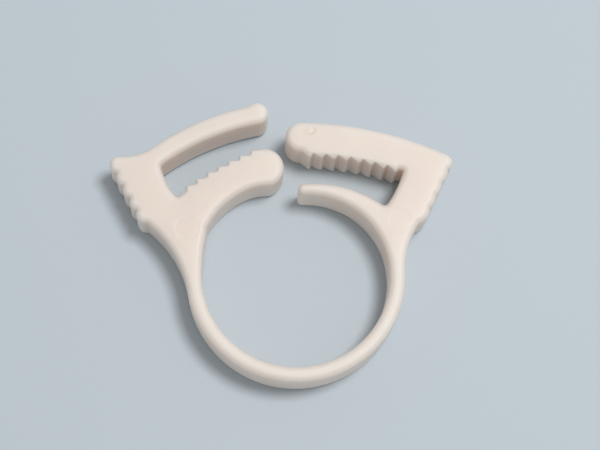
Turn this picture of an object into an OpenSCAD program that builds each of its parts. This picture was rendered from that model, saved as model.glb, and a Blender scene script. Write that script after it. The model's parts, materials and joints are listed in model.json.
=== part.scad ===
// One-piece moulded hose clip, as it leaves the mould: a round band with two toothed
// jaws that are squeezed together until their ratchet teeth lock.
// The bore axis is Z and the origin is the middle of the bore.

/* [Band] */
// Radius of the round opening for the hose, with the clip open
bore_r = 9.1; // [7:0.05:12]
// Thickness of the band between the two jaws
band_t = 1.5; // [1.2:0.05:2.2]
// Width of the clip along the hose
clip_w = 5; // [3.5:0.1:8]
// Rounding of the moulded edges
edge_r = 0.45; // [0.2:0.05:0.5]
// Round in the inside corners of the slots
fillet_r = 0.4; // [0.3:0.05:0.5]

/* [Ratchet teeth] */
// Distance from one tooth to the next
tooth_pitch = 1.22; // [1:0.02:1.4]
// Height of a tooth
tooth_h = 0.42; // [0.25:0.01:0.5]
// Flat left on a tooth's crest
tooth_land = 0.08; // [0.04:0.01:0.15]
// Teeth on the pawl finger
pawl_teeth = 7; // [4:1:7]
// Teeth on the rack finger
rack_teeth = 8; // [4:1:8]

/* [Reeds] */
// Distance from one reed to the next
reed_pitch = 1.42; // [1.3:0.01:1.5]
// Reeds on the left pad
left_reeds = 5; // [3:1:5]
// Reeds on the right pad
right_reeds = 4; // [2:1:4]
// Step from the last reed down to the flare
reed_step = 0.3; // [0.1:0.05:0.4]

/* [Left jaw] */
// Lean of the left jaw from the upright, in degrees
left_lean = 28; // [22:0.5:32]
// Height of the top reed above the bore
left_pad_top = 8.65; // [8.2:0.05:9.2]
// Reach of the left pad outside the bore
left_pad_out = 1.95; // [1.7:0.05:2.4]
// Thickness of the left pad
left_pad_t = 4.4; // [3.8:0.05:5]
// Radius of a reed on the left pad
left_reed_r = 0.87; // [0.78:0.01:1.1]
// Radius of the flare between the band and the left pad
left_flare_r = 11; // [7:0.1:12]
// Radius of the inner face between the band and the pawl finger
seat_r = 17.9; // [14:0.1:24]
// Radius of the hollow between the top reed and the cover finger
knob_flare_r = 5; // [3:0.1:7]

/* [Cover finger] */
// Outside radius of the cover finger
cover_r = 25.5; // [20:0.5:32]
// Thickness of the cover finger
cover_t = 2; // [1.6:0.05:2.4]
// Height of its crest above the bore
cover_rise = 8.95; // [8.5:0.05:9.4]
// Distance of its crest from the jaw's root
cover_crest = 6.3; // [5:0.1:8]
// Length of the cover finger to the middle of its tip
cover_len = 13.4; // [11:0.1:14]
// Radius of the cover finger's tip
cover_tip_r = 1.12; // [1.05:0.01:1.3]
// Radius of the hollow that runs up to the tip
cover_neck_r = 1.6; // [1:0.1:3]

/* [Pawl finger] */
// Radius of the toothed outer face
pawl_r = 34.2; // [28:0.5:40]
// Height of its crest above the bore
pawl_rise = 4; // [3.6:0.05:4.3]
// Distance of its crest from the jaw's root
pawl_crest = 8.5; // [7:0.1:10]
// Length of the pawl finger to the middle of its tip
pawl_len = 11.45; // [10:0.05:12]
// Radius of the pawl finger's tip
pawl_tip_r = 1.9; // [1.6:0.05:2.1]
// How much tighter than the bore its inner face curves
pawl_tuck = 0.85; // [0.5:0.05:1.2]
// Height of the inner face's centre above the bore axis
pawl_lift = 1.4; // [1:0.05:1.8]
// Shift of the inner face's centre towards the pad
pawl_shift = 0.7; // [0.4:0.05:1]
// Distance from the end of the slot to the first tooth
pawl_start = 1.25; // [1:0.05:1.5]

/* [Right jaw] */
// Lean of the right jaw from the upright, in degrees
right_lean = 25.7; // [20:0.1:30]
// Height of the lowest reed above the bore
right_reed_low = 1.9; // [1.5:0.05:2.2]
// Reach of the right pad outside the bore
right_pad_out = 0.05; // [0:0.05:0.5]
// Thickness of the right pad
right_pad_t = 4.1; // [3.8:0.05:4.4]
// Radius of a reed on the right pad
right_reed_r = 1.7; // [1.3:0.05:1.8]
// Radius of the right pad's top corner
corner_r = 0.85; // [0.6:0.05:1]
// Radius of the flare between the band and the right pad
right_flare_r = 8.6; // [6:0.1:11]

/* [Rack finger] */
// Outside radius of the rack finger
rack_r = 34; // [28:0.5:40]
// Thickness of the rack finger over its teeth
rack_t = 3.62; // [3.3:0.02:3.9]
// Height of its crest above the bore
rack_rise = 8.3; // [8:0.05:8.8]
// Distance of its crest from the jaw's root
rack_crest = 0.55; // [0:0.05:1.5]
// Length of the rack finger to the middle of its tip
rack_len = 14.6; // [13:0.1:15]
// Radius of the rack finger's tip
rack_tip_r = 1.5; // [1.3:0.05:1.7]
// Distance from the end of the slot to the first tooth
rack_start = 0.6; // [0.4:0.05:1]

/* [Tongue] */
// How much tighter than the bore the tongue's inner face curves
tongue_tuck = 1.1; // [0.6:0.05:1.4]
// Radius of the tongue's outer face
tongue_out_r = 11.2; // [10.6:0.05:12]
// Thickness of the tongue at its tip
tongue_t = 1.1; // [0.95:0.05:1.3]
// Thickness of the tongue at its root
tongue_root_t = 2.2; // [1.8:0.05:2.5]
// Turn about the bore that the tongue reaches to, in degrees
tongue_end = 92; // [86:1:94]
// Turn about the bore where the tongue leaves the pad, in degrees
tongue_root = 43; // [40:1:46]

/* [Hidden] */
$fn = 96;
// Small sink where one round runs into the next
sink = 0.005;
// Share of the pitch taken by a tooth's steep face
steep_share = 0.2;
// Share of a tooth's height or an edge's round by which a cutter overshoots it
over_share = 0.3;
// Flats that an edge's round is made of
edge_flats = 3;
// Length by which an edge's round runs on past a corner
edge_lap = 0.1;
// Run-on of a round past its join, as a share of the way to where the two cross
lap_share = 1.5;
// Turn about the bore where the left jaw's inner face leaves the band
seat_turn = 182.4;
// Turn about the bore where the tongue's inner face leaves the band
tongue_turn = -3;
// Turn by which the band runs on into a jaw
band_lap = 12;
// Depth of solid behind the hollow at the knob, in cover thicknesses
knob_depth_share = 0.8;
// Depth of solid behind a flare, in band thicknesses
left_depth_share = 2.6;
right_depth_share = 2;

function polar(centre, r, turn) = centre + r * [cos(turn), sin(turn)];
function bearing(from, to) = atan2(to.y - from.y, to.x - from.x);
function arc_turn(length, r) = length / r * 180 / PI;
function reed_valley(r) = r - sqrt(pow(r, 2) - pow(reed_pitch / 2, 2));

// Centre that stands d1 from one point and d2 from another
function meet(p1, d1, p2, d2, side) =
    let (span = norm(p2 - p1),
         along = (d1 * d1 - d2 * d2 + span * span) / (2 * span),
         off = sqrt(d1 * d1 - along * along))
    p1 + (along * (p2 - p1) + side * off * [p1.y - p2.y, p2.x - p1.x]) / span;

// Centre of a hollow round that runs from one outside round to another
function hollow(p1, r1, p2, r2, r) = meet(p1, r1 + r - sink, p2, r2 + r - sink, 1);

// Length by which one round runs on past its join with the next; curve is the difference of
// their curvatures
function run_on(curve) = lap_share * sqrt(2 * sink / curve);

// Turn at a round's centre from the line of centres to where it crosses the next round
function cross_turn(gap, r, next_r) = acos((gap * gap + r * r - next_r * next_r) / (2 * gap * r));

band_r = bore_r + band_t;

// Left jaw, in its own frame: the bore axis stands at left_hub
left_hub = [bore_r, -bore_r];
left_slot = left_pad_t - left_pad_out;
left_knob = [left_reed_r - left_pad_out, left_pad_top];
left_low = left_knob - [0, (left_reeds - 1) * reed_pitch];
left_hollow = hollow(left_hub, band_r, left_low, left_reed_r - reed_step, left_flare_r);
seat = polar(left_hub, bore_r - seat_r - sink, seat_turn - left_lean);
cover = [cover_crest, cover_rise - cover_r];
cover_in_r = cover_r - cover_t;
knob_hollow = hollow(left_knob, left_reed_r, cover, cover_r, knob_flare_r);
cover_tip_arc = cover_in_r + cover_tip_r - sink;
cover_tip_turn = acos((cover_len - cover_crest) / cover_tip_arc);
cover_tip = polar(cover, cover_tip_arc, cover_tip_turn);
cover_neck = hollow(cover, cover_r, cover_tip, cover_tip_r, cover_neck_r);
left_fillet_x = left_slot + fillet_r;
left_fillet = [left_fillet_x,
    cover.y + sqrt(pow(cover_in_r - fillet_r, 2) - pow(left_fillet_x - cover.x, 2))];
pawl = [pawl_crest, pawl_rise - pawl_r];
pawl_slot_turn = acos((left_slot - pawl_crest) / pawl_r);
pawl_tip_arc = pawl_r - pawl_tip_r - tooth_h / 2;
pawl_tip_turn = acos((pawl_len - pawl_crest) / pawl_tip_arc);
pawl_tip = polar(pawl, pawl_tip_arc, pawl_tip_turn);
pawl_in = left_hub + [-pawl_shift, pawl_lift];
pawl_in_r = bore_r - pawl_tuck;
pawl_run = pawl_start + (pawl_teeth - 1) * tooth_pitch + tooth_land;
pawl_crest_turn = pawl_slot_turn - arc_turn(pawl_run, pawl_r);

// Right jaw, in its own frame: the bore axis stands at right_hub
right_hub = [-bore_r, -bore_r];
right_slot = right_pad_out - right_pad_t;
right_low = [right_pad_out - right_reed_r, right_reed_low];
right_hollow = hollow(right_low, right_reed_r - reed_step, right_hub, band_r, right_flare_r);
rack = [-rack_crest, rack_rise - rack_r];
rack_in_r = rack_r - rack_t;
rack_slot_turn = acos((right_slot + rack_crest) / rack_in_r);
rack_tip_arc = rack_r - rack_tip_r + sink;
rack_tip_turn = acos((rack_crest - rack_len) / rack_tip_arc);
rack_tip = polar(rack, rack_tip_arc, rack_tip_turn);
rack_run = rack_start + (rack_teeth - 1) * tooth_pitch + tooth_land;
rack_crest_turn = rack_slot_turn + arc_turn(rack_run, rack_in_r);
corner_arc = rack_r - corner_r + sink;
corner_turn = acos((right_pad_out - corner_r + rack_crest) / corner_arc);
corner = polar(rack, corner_arc, corner_turn);
tongue_in_r = bore_r - tongue_tuck;
tongue_in = polar(right_hub, tongue_tuck + sink, tongue_turn + right_lean);
tongue_tip_turn = tongue_end + right_lean;
tongue_tip = polar(tongue_in, tongue_in_r + tongue_t / 2, tongue_tip_turn);
tongue_tip_r = tongue_t / 2 + sink;
tongue_out_tip = polar(tongue_in, tongue_in_r + tongue_t, tongue_tip_turn);
tongue_out_root = polar(tongue_in, tongue_in_r + tongue_root_t, tongue_root + right_lean);
tongue_out = meet(tongue_out_tip, tongue_out_r, tongue_out_root, tongue_out_r, -1);
right_fillet_x = right_slot - fillet_r;
right_fillet = [right_fillet_x,
    tongue_out.y + sqrt(pow(tongue_out_r + fillet_r, 2) - pow(right_fillet_x - tongue_out.x, 2))];

// Turns by which an edge's round runs on past a smooth join and past a corner
function lap(r, curve) = arc_turn(run_on(curve), r);
function nick(r) = arc_turn(edge_lap, r);

// Straight edge run on past both its ends
function stretched(p, q) = [p, q] + edge_lap / norm(q - p) * [p - q, q - p];

// Edges of the left jaw in its own frame: an arc has its centre, its radius, its first and last
// turn and its side, 1 for an outside edge and -1 for an inside one, and a line has its two ends
left_low_gap = norm(left_low - left_hollow);
left_foot = polar(pawl, pawl_r, pawl_slot_turn);
pawl_tip_gap = norm(pawl_tip - pawl_in);
pawl_in_turn = bearing(pawl_in, pawl_tip);
kink_gap = norm(seat - pawl_in);
pawl_kink_turn = bearing(pawl_in, seat) + cross_turn(kink_gap, pawl_in_r, seat_r);
seat_kink_turn = bearing(seat, pawl_in) - cross_turn(kink_gap, seat_r, pawl_in_r);
left_edges = [
    [left_hollow, left_flare_r, bearing(left_hollow, left_hub), bearing(left_hollow, left_low)
        - cross_turn(left_low_gap, left_flare_r, left_reed_r) + nick(left_flare_r), -1],
    [left_low, left_reed_r, 180, bearing(left_low, left_hollow) + 360
        + cross_turn(left_low_gap, left_reed_r, left_flare_r) + nick(left_reed_r), 1],
    [[sink - left_pad_out, left_low.y - run_on(1 / left_reed_r)],
        [sink - left_pad_out, left_knob.y + run_on(1 / left_reed_r)]],
    [left_knob, left_reed_r,
        bearing(left_knob, knob_hollow) - lap(left_reed_r, 1 / left_reed_r + 1 / knob_flare_r), 180, 1],
    [knob_hollow, knob_flare_r, bearing(knob_hollow, left_knob), bearing(knob_hollow, cover), -1],
    [cover, cover_r, bearing(cover, cover_neck) - lap(cover_r, 1 / cover_r + 1 / cover_neck_r),
        bearing(cover, knob_hollow) + lap(cover_r, 1 / cover_r + 1 / knob_flare_r), 1],
    [cover_neck, cover_neck_r, bearing(cover_neck, cover), bearing(cover_neck, cover_tip), -1],
    [cover_tip, cover_tip_r, cover_tip_turn - 180 - lap(cover_tip_r, 1 / cover_tip_r + 1 / cover_in_r),
        bearing(cover_tip, cover_neck) + lap(cover_tip_r, 1 / cover_tip_r + 1 / cover_neck_r), 1],
    [cover, cover_in_r, cover_tip_turn,
        bearing(cover, left_fillet) + lap(cover_in_r, 1 / fillet_r - 1 / cover_in_r), -1],
    [left_fillet, fillet_r + sink, bearing(cover, left_fillet), 180, -1],
    [[left_slot, left_fillet.y + run_on(1 / fillet_r)], [left_slot, left_foot.y - edge_lap]],
    [left_foot, sink, 180, pawl_slot_turn + 180, -1],
    [pawl, pawl_r, pawl_crest_turn - nick(pawl_r), pawl_slot_turn + nick(pawl_r), 1],
    stretched(polar(pawl, pawl_r, pawl_crest_turn),
        polar(pawl, pawl_tip_arc + pawl_tip_r - sink, pawl_tip_turn)),
    [pawl_tip, pawl_tip_r, pawl_in_turn - 180 + cross_turn(pawl_tip_gap, pawl_tip_r, pawl_in_r)
        - nick(pawl_tip_r), pawl_tip_turn + nick(pawl_tip_r), 1],
    [pawl_in, pawl_in_r,
        pawl_in_turn + cross_turn(pawl_tip_gap, pawl_in_r, pawl_tip_r) - nick(pawl_in_r),
        pawl_kink_turn + arc_turn(edge_r, pawl_in_r), -1],
    [seat, seat_r, seat_kink_turn - arc_turn(edge_r, seat_r),
        seat_turn - left_lean + lap(seat_r, 1 / bore_r - 1 / seat_r), -1]];

// Edges of the right jaw in its own frame
right_low_gap = norm(right_low - right_hollow);
right_foot = polar(rack, rack_in_r, rack_slot_turn);
right_edges = [
    [tongue_in, tongue_in_r, tongue_turn + right_lean, tongue_tip_turn, -1],
    [tongue_tip, tongue_tip_r, tongue_tip_turn - lap(tongue_tip_r, 1 / tongue_tip_r - 1 / tongue_out_r),
        tongue_tip_turn + 180 + lap(tongue_tip_r, 1 / tongue_tip_r + 1 / tongue_in_r), 1],
    [tongue_out, tongue_out_r,
        bearing(tongue_out, right_fillet) - lap(tongue_out_r, 1 / fillet_r + 1 / tongue_out_r),
        bearing(tongue_out, tongue_out_tip), 1],
    [right_fillet, fillet_r + sink, bearing(right_fillet, tongue_out), 0, -1],
    [[right_slot, right_fillet.y - run_on(1 / fillet_r)], [right_slot, right_foot.y + edge_lap]],
    [right_foot, sink, 0, rack_slot_turn, -1],
    [rack, rack_in_r, rack_slot_turn - nick(rack_in_r), rack_crest_turn + nick(rack_in_r), -1],
    stretched(polar(rack, rack_in_r, rack_crest_turn),
        polar(rack, rack_tip_arc - rack_tip_r + sink, rack_tip_turn)),
    [rack_tip, rack_tip_r, rack_tip_turn - lap(rack_tip_r, 1 / rack_tip_r - 1 / rack_r),
        rack_tip_turn + 180 + nick(rack_tip_r), 1],
    [rack, rack_r, corner_turn, rack_tip_turn, 1],
    [corner, corner_r, 0, corner_turn + lap(corner_r, 1 / corner_r - 1 / rack_r), 1],
    [[right_pad_out - sink, corner.y + run_on(1 / corner_r)],
        [right_pad_out - sink, right_low.y - run_on(1 / right_reed_r)]],
    [right_low, right_reed_r, bearing(right_low, right_hollow)
        - cross_turn(right_low_gap, right_reed_r, right_flare_r) - nick(right_reed_r), 0, 1],
    [right_hollow, right_flare_r, bearing(right_hollow, right_low)
        + cross_turn(right_low_gap, right_flare_r, right_reed_r) - nick(right_flare_r),
        bearing(right_hollow, right_hub) + 360, -1]];

// Edges of the band
band_edges = [
    [[0, 0], band_r,
        bearing(left_hub, left_hollow) + left_lean - lap(band_r, 1 / band_r + 1 / left_flare_r),
        360 + bearing(right_hub, right_hollow) - right_lean
            + lap(band_r, 1 / band_r + 1 / right_flare_r), 1],
    [[0, 0], bore_r, seat_turn, 360 + tongue_turn + lap(bore_r, 1 / tongue_in_r - 1 / bore_r), -1]];

// Ring sector about a centre
module sector(centre, near, far, from, to)
    translate(centre)
        intersection() {
            difference() {
                circle(far);
                circle(near);
            }
            polygon(concat([[0, 0]],
                [for (i = [0 : 4]) polar([0, 0], 2 * far, from + (to - from) * i / 4)]));
        }

module disc(centre, r)
    translate(centre)
        circle(r);

module block(left, right, low, high)
    translate([left, low])
        square([right - left, high - low]);

// Solid behind a hollow round that runs from one outside round to another
module flare(centre, p1, p2, r, depth) {
    from = bearing(centre, p1);
    sector(centre, r, r + depth, from, from + (bearing(centre, p2) - from + 360) % 360);
}

module left_frame()
    rotate([0, 0, left_lean])
        translate([-bore_r, bore_r])
            children();

module right_frame()
    rotate([0, 0, -right_lean])
        translate([bore_r, bore_r])
            children();

module left_pad() {
    for (i = [0 : left_reeds - 1])
        disc(left_knob - [0, i * reed_pitch], left_reed_r);
    block(left_knob.x, left_slot, left_low.y, left_pad_top - left_reed_r);
    flare(knob_hollow, left_knob, cover, knob_flare_r, knob_depth_share * cover_t);
    intersection() {
        flare(left_hollow, left_hub, left_low, left_flare_r, left_depth_share * band_t);
        sector(seat, seat_r, seat_r + bore_r,
            bearing(seat, left_knob), seat_turn - left_lean + band_lap);
    }
}

module cover_finger() {
    sector(cover, cover_in_r, cover_r, cover_tip_turn, acos(-cover_crest / cover_r));
    disc(cover_tip, cover_tip_r);
    flare(cover_neck, cover, cover_tip, cover_neck_r, cover_t / 2);
    sector(left_fillet, fillet_r + sink, 2 * fillet_r, bearing(cover, left_fillet), 180);
}

module pawl_finger() {
    root = [0, left_low.y];
    difference() {
        union() {
            intersection() {
                sector(pawl, pawl_r - bore_r, pawl_r,
                    acos((pawl_len + pawl_tip_r - pawl_crest) / pawl_r), acos(-pawl_crest / pawl_r));
                sector(pawl_in, pawl_in_r, pawl_in_r + bore_r,
                    bearing(pawl_in, pawl_tip), bearing(pawl_in, root));
            }
            disc(pawl_tip, pawl_tip_r);
        }
        tooth_gaps(pawl, pawl_r, pawl_teeth, pawl_slot_turn, pawl_start, 1, -1);
        lead_in(pawl, pawl_r, pawl_crest_turn, pawl_tip_arc + pawl_tip_r - sink, pawl_tip_turn,
            pawl_r + tooth_h);
    }
}

module right_pad() {
    top_reed = right_reed_low + (right_reeds - 1) * reed_pitch;
    for (i = [0 : right_reeds - 1])
        disc(right_low + [0, i * reed_pitch], right_reed_r);
    block(right_slot, right_low.x, 0, rack_rise - corner_r);
    block(right_slot, right_pad_out - reed_valley(right_reed_r), top_reed, rack_rise - corner_r);
}

module rack_finger() {
    disc(corner, corner_r);
    difference() {
        union() {
            sector(rack, rack_in_r, rack_r, corner_turn, rack_tip_turn);
            disc(rack_tip, rack_tip_r);
        }
        tooth_gaps(rack, rack_in_r, rack_teeth, rack_slot_turn, rack_start, -1, 1);
        lead_in(rack, rack_in_r, rack_crest_turn, rack_tip_arc - rack_tip_r + sink, rack_tip_turn,
            rack_in_r - tooth_h);
    }
}

module tongue() {
    intersection() {
        sector(tongue_in, tongue_in_r, tongue_in_r + bore_r,
            right_lean + 2 * tongue_turn, tongue_tip_turn);
        union() {
            sector(tongue_out, tongue_out_r - 2 * tongue_root_t, tongue_out_r,
                bearing(tongue_out, [right_slot / 2, 0]),
                bearing(tongue_out, tongue_out_tip) + band_lap);
            flare(right_hollow, right_low, right_hub, right_flare_r, right_depth_share * band_t);
        }
    }
    disc(tongue_tip, tongue_tip_r);
    sector(right_fillet, fillet_r + sink, 2 * fillet_r, bearing(right_fillet, tongue_out), 0);
}

module plan() {
    sector([0, 0], bore_r, band_r, seat_turn, 360 + band_lap);
    left_frame() {
        left_pad();
        cover_finger();
        pawl_finger();
    }
    right_frame() {
        right_pad();
        rack_finger();
        tongue();
    }
}

// Gaps between the teeth; inward is 1 for teeth on an outside face and -1 for an inside one,
// and away is the sense of turn from the slot to the finger's tip
module tooth_gaps(centre, r, teeth, slot, start, inward, away) {
    valley = r - inward * tooth_h;
    lip = r + inward * tooth_h * over_share;
    steep = arc_turn(steep_share * tooth_pitch, r);
    gentle = arc_turn((1 - steep_share) * tooth_pitch - tooth_land, r);
    for (i = [0 : teeth - 1]) {
        crest = slot + away * arc_turn(start + i * tooth_pitch, r);
        foot = crest - away * steep;
        back = i == 0 ? slot - away * arc_turn(2 * tooth_land, r)
                      : foot - away * gentle * (1 + over_share);
        polygon([
            polar(centre, lip, crest + away * steep * over_share),
            polar(centre, valley, foot),
            polar(centre, i == 0 ? valley : lip, back),
            polar(centre, lip, back)]);
    }
}

// Slope from the outermost tooth to the finger's tip, run on past the tip
module lead_in(centre, crest_r, crest_turn, tip_r, tip_turn, over_r) {
    crest = polar(centre, crest_r, crest_turn);
    tip = polar(centre, tip_r, tip_turn);
    past = 2 * tip_turn - crest_turn;
    polygon([
        crest + over_share * (crest - tip),
        tip,
        polar(centre, tip_r, past),
        polar(centre, over_r, past),
        polar(centre, over_r, crest_turn)]);
}

// Section of what an edge's round takes off a corner at a distance r; side is 1 where the
// clip lies nearer than r and -1 where it lies beyond
module edge_section(r, side) {
    bend = [for (i = [0 : edge_flats]) let (turn = 90 * i / edge_flats)
        edge_r * [sin(turn) - 1, cos(turn) - 1]];
    start = bend[0] + over_share * (bend[0] - bend[1]);
    end = bend[edge_flats] + over_share * (bend[edge_flats] - bend[edge_flats - 1]);
    past = over_share * edge_r;
    ring = [start, each [for (i = [1 : edge_flats - 1]) bend[i]], end,
        [past, end.y], [past, past], [start.x, past]];
    polygon([for (p = ring) [max(0, r + side * p.x), p.y]]);
}

// Rounds on the upper and the lower face alike
module both_faces()
    for (flip = [0, 1])
        mirror([0, 0, flip])
            translate([0, 0, clip_w / 2])
                children();

// Edge round along an arc, or along a straight edge with the clip on the right of its way
module edge(e)
    both_faces()
        translate(e[0])
            if (len(e) > 2)
                rotate([0, 0, e[2]])
                    rotate_extrude(angle = e[3] - e[2])
                        edge_section(e[1], e[4]);
            else
                rotate([0, 0, bearing(e[0], e[1])])
                    rotate([90, 0, 90])
                        linear_extrude(norm(e[1] - e[0]))
                            translate([-2 * edge_r, 0])
                                edge_section(2 * edge_r, 1);

// The clip with its band's edges rounded, then so many of the left jaw's and of the right
// jaw's, one after another
module rounded(left, right)
    if (right > 0)
        difference() {
            rounded(left, right - 1);
            right_frame()
                edge(right_edges[right - 1]);
        }
    else if (left > 0)
        difference() {
            rounded(left - 1, right);
            left_frame()
                edge(left_edges[left - 1]);
        }
    else
        difference() {
            linear_extrude(clip_w, center = true)
                plan();
            edge(band_edges[0]);
            edge(band_edges[1]);
        }

module hose_clip()
    color("#e6d3c6")
        rounded(len(left_edges), len(right_edges));

hose_clip();
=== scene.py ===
import json
import math

import bmesh
import bpy
import numpy as np
from mathutils import Matrix, Vector, geometry, kdtree

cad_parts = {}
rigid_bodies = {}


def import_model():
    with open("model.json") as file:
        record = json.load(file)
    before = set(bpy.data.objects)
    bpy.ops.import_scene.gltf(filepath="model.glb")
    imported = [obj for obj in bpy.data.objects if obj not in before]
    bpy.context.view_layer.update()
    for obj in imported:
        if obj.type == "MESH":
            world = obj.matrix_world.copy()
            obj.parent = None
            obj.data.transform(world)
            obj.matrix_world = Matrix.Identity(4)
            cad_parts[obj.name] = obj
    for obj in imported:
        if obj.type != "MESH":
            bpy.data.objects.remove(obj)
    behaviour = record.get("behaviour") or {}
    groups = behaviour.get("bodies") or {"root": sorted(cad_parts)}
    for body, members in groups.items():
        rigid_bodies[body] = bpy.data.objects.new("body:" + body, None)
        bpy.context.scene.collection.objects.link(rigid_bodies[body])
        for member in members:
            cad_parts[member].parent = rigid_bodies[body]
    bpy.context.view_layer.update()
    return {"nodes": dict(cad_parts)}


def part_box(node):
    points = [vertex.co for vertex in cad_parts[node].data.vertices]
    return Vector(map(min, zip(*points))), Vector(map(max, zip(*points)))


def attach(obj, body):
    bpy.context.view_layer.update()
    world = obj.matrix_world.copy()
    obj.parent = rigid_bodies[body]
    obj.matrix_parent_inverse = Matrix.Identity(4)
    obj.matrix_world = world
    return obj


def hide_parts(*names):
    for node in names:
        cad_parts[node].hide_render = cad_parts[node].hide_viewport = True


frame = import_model()
mm = 0.001
print("frame loaded, nodes:", sorted(frame["nodes"]))


# one socket of a shader tree: sums on it add Math nodes
class Wire:
    def __init__(self, tree, socket=None):
        self.tree = tree
        self.socket = socket

    def node(self, kind, settings=None, feeds=None, out=0):
        made = self.tree.nodes.new(kind)
        for name, value in (settings or {}).items():
            setattr(made, name, value)
        for name, value in (feeds or {}).items():
            if isinstance(value, Wire):
                self.tree.links.new(value.socket, made.inputs[name])
            else:
                made.inputs[name].default_value = value
        return Wire(self.tree, made.outputs[out]) if len(made.outputs) else made

    def sum(self, operation, first, second):
        return self.node("ShaderNodeMath", {"operation": operation}, {0: first, 1: second})

    def __add__(self, other):
        return self.sum("ADD", self, other)

    def __radd__(self, other):
        return self.sum("ADD", other, self)

    def __sub__(self, other):
        return self.sum("SUBTRACT", self, other)

    def __rsub__(self, other):
        return self.sum("SUBTRACT", other, self)

    def __mul__(self, other):
        return self.sum("MULTIPLY", self, other)

    def __rmul__(self, other):
        return self.sum("MULTIPLY", other, self)


def srgb(red, green, blue):
    def flat(v):
        v = v / 255
        return v / 12.92 if v <= 0.04045 else ((v + 0.055) / 1.055) ** 2.4
    return (flat(red), flat(green), flat(blue), 1)


def newMaterial(name):
    made = bpy.data.materials.new(name)
    made.use_nodes = True
    made.node_tree.nodes.clear()
    return made, Wire(made.node_tree)


clip = {
    "node": "hose_clip",
    "merge": 0.002,        # mesh points closer than this are one, mm
    "cutSlack": 1e-5,      # a point this near the cutting plane lies on it, mm
    "straight": 4e-4,      # sine of a turn too slight to keep a point for
    "fineStep": 0.01,      # spacing of points on the first smooth curve, mm
    "step": 0.08,          # spacing of points along the outline, mm
    "rimStep": 0.02,       # their spacing where only distances are measured, mm
    "soften": 0.09,        # how far sharp corners are eased, mm
    "inside": 0.006,       # keeps the smooth arcs inside the solid's box, mm
    "cornerTurn": 22,      # a sharper turn than this is a corner, degrees
    "necks": [(-3.51, 8.85)],   # corners that run smoothly on the real clip, mm
    "neckReach": 0.9,
    "neckSoften": 0.5,
    "edgeIn": 0.55,        # reach of an edge's rounding across the face, mm
    "edgeDown": 0.62,      # and down the wall, mm
    "edgeRows": 9,
    "rowSlack": 0.004,     # how much nearer to the outline a row's point may lie, mm
    "crownIn": 1.5,        # reach of the faces' slight crown from the outline, mm
    "crown": 0.06,         # drop of that crown at the outline, mm
    "rackFrom": 0,         # teeth to the right of this are the rack's, mm
    "toothGap": 0.01,      # a point this much deeper under the crests lies by a tooth gap, mm
    "crisp": 1.3,          # how much tighter the pawl's round is at its teeth
    "crispReach": 1.1,
    "fill": 0.5,           # spacing of points on the flat faces, mm
    "fillRoom": 0.03,      # room between those and the edge's round, mm
    "gapFill": 0.12,       # spacing of points that fill gaps between the rows, mm
    "gapRoom": 0.05,       # room between those and the outline, mm
    "gapShare": 0.8,       # share of their spacing that they keep from the rows
    "joinSlack": 1e-6,     # points closer than this are one in the face's mesh, mm
    "wallRows": 4,
}


# outline of the clip half way up, as one loop of points in mm
def midOutline(node):
    bm = bmesh.new()
    bm.from_mesh(node.data)
    bmesh.ops.remove_doubles(bm, verts=bm.verts, dist=clip["merge"] * mm)
    lo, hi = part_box(clip["node"])
    cut = bmesh.ops.bisect_plane(
        bm, geom=bm.verts[:] + bm.edges[:] + bm.faces[:], dist=clip["cutSlack"] * mm,
        plane_co=(0, 0, (lo.z + hi.z) / 2), plane_no=(0, 0, 1))
    bm.verts.index_update()
    beside = {}
    for edge in cut["geom_cut"]:
        if isinstance(edge, bmesh.types.BMEdge):
            a, b = (v.index for v in edge.verts)
            beside.setdefault(a, []).append(b)
            beside.setdefault(b, []).append(a)
    bm.verts.ensure_lookup_table()
    start = min(beside)
    loop, last, here = [start], None, start
    while True:
        ahead = [n for n in beside[here] if n != last][0]
        if ahead == start:
            break
        loop.append(ahead)
        last, here = here, ahead
    points = np.array([bm.verts[i].co.xy for i in loop]) / mm
    bm.free()
    if len(loop) != len(beside):
        raise ValueError("the outline isn't one loop")
    following = np.roll(points, -1, 0)
    area = np.sum(points[:, 0] * following[:, 1] - points[:, 1] * following[:, 0])
    return points if area > 0 else points[::-1]


# ways from the point before to each point of a loop and on to the next, and their cross product
def waysOf(points):
    before = points - np.roll(points, 1, 0)
    after = np.roll(points, -1, 0) - points
    return before, after, before[:, 0] * after[:, 1] - before[:, 1] * after[:, 0]


# drops points that lie in line with their neighbours, as at the diagonals of flat walls
def dropInLine(points):
    while True:
        before, after, cross = waysOf(points)
        sine = np.abs(cross) / (np.hypot(*before.T) * np.hypot(*after.T))
        spare = np.where(sine < clip["straight"])[0]
        if len(spare) == 0:
            return points
        points = np.delete(points, spare[:1], 0)


# turn of a loop at each point in degrees, more than 0 where it bulges out
def turnsOf(points):
    before, after, cross = waysOf(points)
    return np.degrees(np.arctan2(cross, (before * after).sum(1)))


# which points of the outline are the bottoms of the gaps between teeth
def toothGaps(points):
    turn = turnsOf(points)
    crest = turn > clip["cornerTurn"] / 2
    return (turn < -clip["cornerTurn"]) & np.roll(crest, 1) & np.roll(crest, -1)


# a loop of points eased over a width given in points
def smoothed(points, width):
    widest = math.ceil(3 * width)
    reach = range(-widest, widest + 1)
    weights = [math.exp(-0.5 * (k / width) ** 2) for k in reach]
    return sum(w * np.roll(points, k, 0) for k, w in zip(reach, weights)) / sum(weights)


# unit vectors that point out of a loop that runs anticlockwise
def outwardOf(points):
    along = np.roll(points, -1, 0) - np.roll(points, 1, 0)
    along /= np.hypot(*along.T)[:, None]
    return np.stack([along[:, 1], -along[:, 0]], 1)


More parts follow.
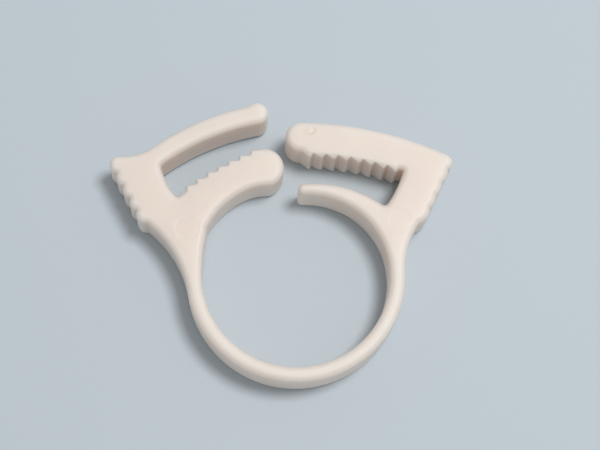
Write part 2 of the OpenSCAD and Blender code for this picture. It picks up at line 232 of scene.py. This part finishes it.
# smooth curve through a loop of points, straight only between two corners
def smoothCurve(points):
    before, after, _ = waysOf(points)
    lengthIn, lengthOut = np.hypot(*before.T)[:, None], np.hypot(*after.T)[:, None]
    corner = np.abs(turnsOf(points)) > clip["cornerTurn"]
    tangent = before / lengthIn * lengthOut + after / lengthOut * lengthIn
    tangent /= np.hypot(*tangent.T)[:, None]
    fine = []
    for i in range(len(points)):
        j = (i + 1) % len(points)
        chord = points[j] - points[i]
        span = np.hypot(*chord)
        ahead = chord / span
        leave = ahead if corner[i] else tangent[i]
        arrive = ahead if corner[j] else tangent[j]
        if corner[i] and not corner[j]:
            leave = 2 * ahead * (ahead @ arrive) - arrive
        if corner[j] and not corner[i]:
            arrive = 2 * ahead * (ahead @ leave) - leave
        pieces = max(2, int(span / clip["fineStep"]))
        t = np.arange(pieces)[:, None] / pieces
        fine.append((2 * t**3 - 3 * t**2 + 1) * points[i] + (t**3 - 2 * t**2 + t) * span * leave
                    + (3 * t**2 - 2 * t**3) * points[j] + (t**3 - t**2) * span * arrive)
    return np.concatenate(fine)


# that curve at an even spacing, with its corners slightly eased
def evenOutline(points, spacing):
    fine = smoothCurve(points)
    ring = np.vstack([fine, fine[:1]])
    run = np.concatenate([[0], np.cumsum(np.hypot(*np.diff(ring, axis=0).T))])
    at = np.linspace(0, run[-1], int(run[-1] / spacing), endpoint=False)
    even = np.stack([np.interp(at, run, ring[:, k]) for k in (0, 1)], 1)
    eased = smoothed(even, clip["soften"] / spacing)
    for neck in clip["necks"]:
        share = np.exp(-(np.hypot(*(eased - neck).T) / clip["neckReach"]) ** 4)[:, None]
        eased += share * (smoothed(eased, clip["neckSoften"] / spacing) - eased)
    return eased - clip["inside"] * outwardOf(eased)


def treeOf(points):
    tree = kdtree.KDTree(len(points))
    for i, (x, y) in enumerate(points):
        tree.insert((x, y, 0), i)
    tree.balance()
    return tree


# nearest points of a tree, and how far off they are
def nearest(tree, points):
    found = [tree.find((x, y, 0)) for x, y in points]
    return np.array([f[0].xy for f in found]), np.array([f[2] for f in found])


# nearest places on a loop, also between its points
def footOn(loop, points):
    tree = treeOf(loop)
    at = np.array([tree.find((x, y, 0))[1] for x, y in points])
    feet = []
    for start, end in ((loop[at - 1], loop[at]), (loop[at], loop[(at + 1) % len(loop)])):
        along = end - start
        share = np.clip(((points - start) * along).sum(1) / (along**2).sum(1), 0, 1)
        feet.append(start + share[:, None] * along)
    nearer = np.hypot(*(feet[0] - points).T) < np.hypot(*(feet[1] - points).T)
    return np.where(nearer[:, None], *feet)


def insidePlan(points, outline):
    x, y = points[:, 0], points[:, 1]
    odd = np.zeros(len(points), bool)
    for (x0, y0), (x1, y1) in zip(outline, np.roll(outline, -1, 0)):
        if y0 != y1:
            odd ^= ((y0 > y) != (y1 > y)) & (x < (x1 - x0) * (y - y0) / (y1 - y0) + x0)
    return odd


marks = {
    "pins": [(10.24, 5.06), (-10.55, 4.36)],   # middles of the ejector pin marks, mm
    "pinR": 1.2,
    "pinDepth": 0.022,
    "gate": (1.41, 14.56),                     # dimple of the gate on the rack finger, mm
    "gateR": 0.6,
    "gateDepth": 0.065,
    "nubR": 0.28,                              # stub left in that dimple, mm
    "nubRise": 0.055,
    "blur": 0.04,                              # softness of a mark's rim, mm
    "rings": (-5, -3, -1.5, 0, 1.5, 3, 5),     # circles of points about a rim, in blurs
    "spokes": 48,                              # points on each circle
    "slopeStep": 0.01,
}


# rounds of the moulding marks, each with its middle, radius and rise
def markRounds():
    rounds = [(pin, marks["pinR"], -marks["pinDepth"]) for pin in marks["pins"]]
    rounds.append((marks["gate"], marks["gateR"], -marks["gateDepth"]))
    rounds.append((marks["gate"], marks["nubR"], marks["nubRise"]))
    return rounds


def markHeight(points):
    height = np.zeros(len(points))
    for middle, r, rise in markRounds():
        away = np.hypot(*(points - middle).T)
        height += rise * (1 - np.tanh((away - r) / marks["blur"] / 2)) / 2
    return height


# slope of the marks, to be taken off the way that the face points
def markSlope(points):
    step = marks["slopeStep"]
    slope = [(markHeight(points + way) - markHeight(points - way)) / (2 * step)
             for way in ([step, 0], [0, step])]
    return np.c_[slope[0], slope[1], np.zeros(len(points))]


# rows of points that step in from the outline round the edge
def edgeRows(outline, outward, rim):
    plan, depth, facing = [outline], [np.zeros(len(outline))], [outward]
    for row in range(1, clip["edgeRows"] + 1):
        inset = clip["edgeIn"] * (1 - math.cos(math.pi / 2 * row / clip["edgeRows"]))
        spots = outline - inset * outward
        keep = nearest(rim, spots)[1] > inset - clip["rowSlack"]
        plan.append(spots[keep])
        depth.append(np.full(keep.sum(), inset))
        facing.append(outward[keep])
    return plan, depth, facing


# points on the flat face: a grid, denser round the moulding marks and in the gaps of the rows
def facePoints(outline, rim, rows):
    lo, hi = outline.min(0), outline.max(0)

    def grid(step):
        xs, ys = np.meshgrid(np.arange(lo[0], hi[0], step), np.arange(lo[1], hi[1], step))
        spots = np.c_[xs.ravel(), ys.ravel()]
        return spots[insidePlan(spots, outline)]

    turns = np.linspace(0, 2 * math.pi, marks["spokes"], endpoint=False)
    circle = np.c_[np.cos(turns), np.sin(turns)]
    flat = [grid(clip["fill"])]
    for middle, r, _ in markRounds():
        flat += [middle + (r + k * marks["blur"]) * circle for k in marks["rings"]]
    flat = np.concatenate(flat)
    flat = flat[nearest(rim, flat)[1] > clip["edgeIn"] + clip["fillRoom"]]
    gaps = grid(clip["gapFill"])
    depth = nearest(rim, gaps)[1]
    gaps = gaps[(depth > clip["gapRoom"]) & (depth < clip["edgeIn"])]
    gaps = gaps[nearest(treeOf(rows), gaps)[1] > clip["gapShare"] * clip["gapFill"]]
    return np.concatenate([flat, gaps])


# the rack's round follows the crests of its teeth, so that they fade out in it, and the pawl's
# is tighter at its teeth
def fitToTeeth(corners, plan, depth, facing):
    gaps = toothGaps(corners)
    onRack = gaps & (corners[:, 0] > clip["rackFrom"])
    foot = footOn(evenOutline(corners[~onRack], clip["rimStep"]), plan)
    away = np.hypot(*(foot - plan).T)
    toothed = away > depth + clip["toothGap"]
    facing[toothed] = (foot - plan)[toothed] / away[toothed, None]
    depth = np.where(toothed, away, depth)
    away = nearest(treeOf(corners[gaps & ~onRack]), plan)[1]
    tight = 1 + clip["crisp"] * np.exp(-(away / clip["crispReach"]) ** 4)
    print("tooth gaps:", onRack.sum(), "on the rack,", (gaps & ~onRack).sum(), "on the pawl")
    return depth, facing, tight


# how far a face point drops where it lies this deep inside the outline, and the way it faces
def edgeShape(depth, outward, tight):
    across = np.clip(1 - tight * depth / clip["edgeIn"], 0, 1)
    up = np.sqrt(1 - across**2)
    near = np.clip(1 - depth / clip["crownIn"], 0, 1)
    drop = clip["edgeDown"] * (1 - up) + clip["crown"] * near**2
    facing = np.c_[outward * (tight * across / clip["edgeIn"])[:, None], up / clip["edgeDown"]]
    facing[:, :2] += outward * (facing[:, 2] * 2 * clip["crown"] * near / clip["crownIn"])[:, None]
    return drop, facing / np.linalg.norm(facing, axis=1)[:, None]


def buildClip():
    lo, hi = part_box(clip["node"])
    half = (hi.z - lo.z) / 2 / mm
    middle = (hi.z + lo.z) / 2 / mm
    corners = dropInLine(midOutline(frame["nodes"][clip["node"]]))
    outline = evenOutline(corners, clip["step"])
    rim = treeOf(evenOutline(corners, clip["rimStep"]))
    count = len(outline)
    outward = outwardOf(outline)

    # plan of the face, with how deep each point lies and the way out from it
    plan, depth, facing = edgeRows(outline, outward, rim)
    flat = facePoints(outline, rim, np.concatenate(plan))
    foot, away = nearest(rim, flat)
    plan = np.concatenate([*plan, flat])
    depth = np.concatenate([*depth, away])
    facing = np.concatenate([*facing, (foot - flat) / away[:, None]])
    depth, facing, tight = fitToTeeth(corners, plan, depth, facing)
    ring = [(i, (i + 1) % count) for i in range(count)]
    insideOnly = 1    # Blender's word for the triangles within the ring
    spots, _, faces, spotFrom, _, _ = geometry.delaunay_2d_cdt(
        [Vector(p) for p in plan], ring, [], insideOnly, clip["joinSlack"])
    source = [s[0] for s in spotFrom]
    plan = np.array([tuple(p) for p in spots])
    place = {s: i for i, s in enumerate(source)}
    edge = [place[i] for i in range(count)]

    # upper face with the marks, and the lower one without
    drop, facing = edgeShape(depth[source], facing[source], tight[source])
    rise = half - drop
    onFace = depth[source] >= clip["edgeIn"]
    lift = markHeight(plan) * onFace
    marked = facing - markSlope(plan) * onFace[:, None]
    total = len(plan)
    verts = [np.c_[plan, middle + rise + lift], np.c_[plan, middle - rise]]
    polys = [tuple(f) for f in faces] + [tuple(total + i for i in reversed(f)) for f in faces]
    skin = np.concatenate([marked, facing * [1, 1, -1]])
    normals = [skin[i] for poly in polys for i in poly]

    # wall between the two rounded edges
    side = np.c_[outward, np.zeros(count)]
    rows = [edge]
    for row in range(1, clip["wallRows"]):
        rows.append([2 * total + (row - 1) * count + i for i in range(count)])
        level = rise[edge] * (1 - 2 * row / clip["wallRows"])
        verts.append(np.c_[plan[edge], middle + level])
    rows.append([total + i for i in edge])
    for upper, lower in zip(rows, rows[1:]):
        for i, j in ring:
            polys.append((upper[i], lower[i], lower[j], upper[j]))
            normals += [side[i], side[i], side[j], side[j]]

    mesh = bpy.data.meshes.new("hoseClip")
    mesh.from_pydata((np.concatenate(verts) * mm).tolist(), [], polys)
    mesh.update()
    mesh.polygons.foreach_set("use_smooth", [True] * len(mesh.polygons))
    mesh.normals_split_custom_set(np.array(normals).tolist())
    body = bpy.data.objects.new("hoseClipBody", mesh)
    bpy.context.scene.collection.objects.link(body)
    print("clip body:", len(mesh.vertices), "points,", len(mesh.polygons), "faces, outline", count)
    return body


nylon = {
    "colour": srgb(239, 228, 219),
    "thin": srgb(230, 217, 207),     # where the clouds in it are thin
    "cloudScale": 220,
    "cloudDetail": 3,
    "grainScale": 4200,
    "grainDetail": 4,
    "grain": 0.02,                   # height of the grain, mm
    "grainBump": 0.12,
    "roughness": 0.48,
    "cloudRough": 0.12,              # how much the clouds and the grain change it
    "grainRough": 0.1,
    "ior": 1.53,
    "milky": 0.9,                    # share of the light that spreads under the skin
    "milkyReach": (2.2, 2.0, 1.8),   # how far its red, green and blue spread, mm
}


def nylonMaterial():
    made, wire = newMaterial("naturalNylon")
    place = wire.node("ShaderNodeNewGeometry", out="Position")

    def noise(scale, detail):
        feeds = {"Vector": place, "Scale": scale, "Detail": detail}
        return wire.node("ShaderNodeTexNoise", {"noise_dimensions": "3D"}, feeds)

    cloud = noise(nylon["cloudScale"], nylon["cloudDetail"])
    fine = noise(nylon["grainScale"], nylon["grainDetail"])
    tint = wire.node("ShaderNodeMix", {"data_type": "RGBA"},
                     {0: cloud, 6: nylon["thin"], 7: nylon["colour"]}, out=2)
    cloudRough = (cloud - 0.5) * nylon["cloudRough"]
    grainRough = (fine - 0.5) * nylon["grainRough"]
    rough = nylon["roughness"] + cloudRough + grainRough
    bump = wire.node("ShaderNodeBump", None, {
        "Strength": nylon["grainBump"], "Distance": nylon["grain"] * mm, "Height": fine})
    skin = wire.node("ShaderNodeBsdfPrincipled", None, {
        "Base Color": tint, "Roughness": rough, "Normal": bump, "IOR": nylon["ior"],
        "Subsurface Weight": nylon["milky"], "Subsurface Scale": 1.0,
        "Subsurface Radius": [reach * mm for reach in nylon["milkyReach"]]})
    wire.node("ShaderNodeOutputMaterial", None, {"Surface": skin})
    print("nylon:", len(made.node_tree.nodes), "shader nodes")
    return made


body = buildClip()
body.data.materials.append(nylonMaterial())
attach(body, "root")
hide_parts("hose_clip")

floor = {
    "half": 0.6,      # half its width, m
    "under": 0.02,    # its gap under the clip, mm
    "colour": srgb(198, 208, 215),
    "roughness": 0.9,
    "gloss": 0.1,
}


def buildFloor():
    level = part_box("hose_clip")[0].z - floor["under"] * mm
    half = floor["half"]
    corners = [(-half, -half, level), (half, -half, level), (half, half, level), (-half, half, level)]
    mesh = bpy.data.meshes.new("floor")
    mesh.from_pydata(corners, [], [(0, 1, 2, 3)])
    made, wire = newMaterial("paleFloor")
    skin = wire.node("ShaderNodeBsdfPrincipled", None, {
        "Base Color": floor["colour"], "Roughness": floor["roughness"],
        "Specular IOR Level": floor["gloss"]})
    wire.node("ShaderNodeOutputMaterial", None, {"Surface": skin})
    mesh.materials.append(made)
    plane = bpy.data.objects.new("floor", mesh)
    bpy.context.scene.collection.objects.link(plane)
    print("floor at", round(level / mm, 3), "mm")


buildFloor()

studio = {
    "keyFrom": (0.27, 0.12, 0.96),   # way to the lamp
    "keyAway": 0.4,                  # m
    "keySize": 0.12,                 # m
    "keyPower": 0.9,                 # W
    "ambient": 0.4,
}


def buildStudio():
    lamp = bpy.data.lights.new("softKey", "AREA")
    lamp.shape = "DISK"
    lamp.size = studio["keySize"]
    lamp.energy = studio["keyPower"]
    key = bpy.data.objects.new("softKey", lamp)
    toward = Vector(studio["keyFrom"]).normalized()
    key.location = toward * studio["keyAway"]
    key.rotation_mode = "QUATERNION"
    key.rotation_quaternion = (-toward).to_track_quat("-Z", "Y")
    bpy.context.scene.collection.objects.link(key)
    world = bpy.data.worlds.new("studio")
    world.use_nodes = True
    world.node_tree.nodes.clear()
    wire = Wire(world.node_tree)
    sky = wire.node("ShaderNodeBackground", None, {
        "Color": (1, 1, 1, 1), "Strength": studio["ambient"]})
    wire.node("ShaderNodeOutputWorld", None, {"Surface": sky})
    bpy.context.scene.world = world
    bpy.context.scene.view_settings.view_transform = "Standard"
    print("studio: one soft lamp and an even sky")


buildStudio()

photo = {
    "target": (0.59, 6.04, -2.5),   # what the middle of the picture looks at, mm
    "away": 172,                    # mm
    "front": 14.7,                  # lean of the view from the upright, degrees
    "left": 2.3,
    "roll": 0.4,
    "lens": 103.2,
    "sensor": 36,
    "near": 0.005,                  # nearest and farthest that the camera sees, m
    "far": 5,
}


def buildCamera():
    cam = bpy.data.cameras.new("photoView")
    cam.lens = photo["lens"]
    cam.sensor_width = photo["sensor"]
    cam.clip_start = photo["near"]
    cam.clip_end = photo["far"]
    eye = bpy.data.objects.new("photoView", cam)
    front, left, roll = (math.radians(photo[k]) for k in ("front", "left", "roll"))
    back = Vector((-math.tan(left), -math.tan(front), 1)).normalized()
    right = Vector((0, 1, 0)).cross(back).normalized()
    turned = Matrix((right, back.cross(right), back)).transposed()
    eye.location = (Vector(photo["target"]) + back * photo["away"]) * mm
    eye.rotation_mode = "QUATERNION"
    eye.rotation_quaternion = (turned @ Matrix.Rotation(-roll, 3, "Z")).to_quaternion()
    bpy.context.scene.collection.objects.link(eye)
    bpy.context.scene.camera = eye
    print("camera", photo["away"], "mm away")


buildCamera()
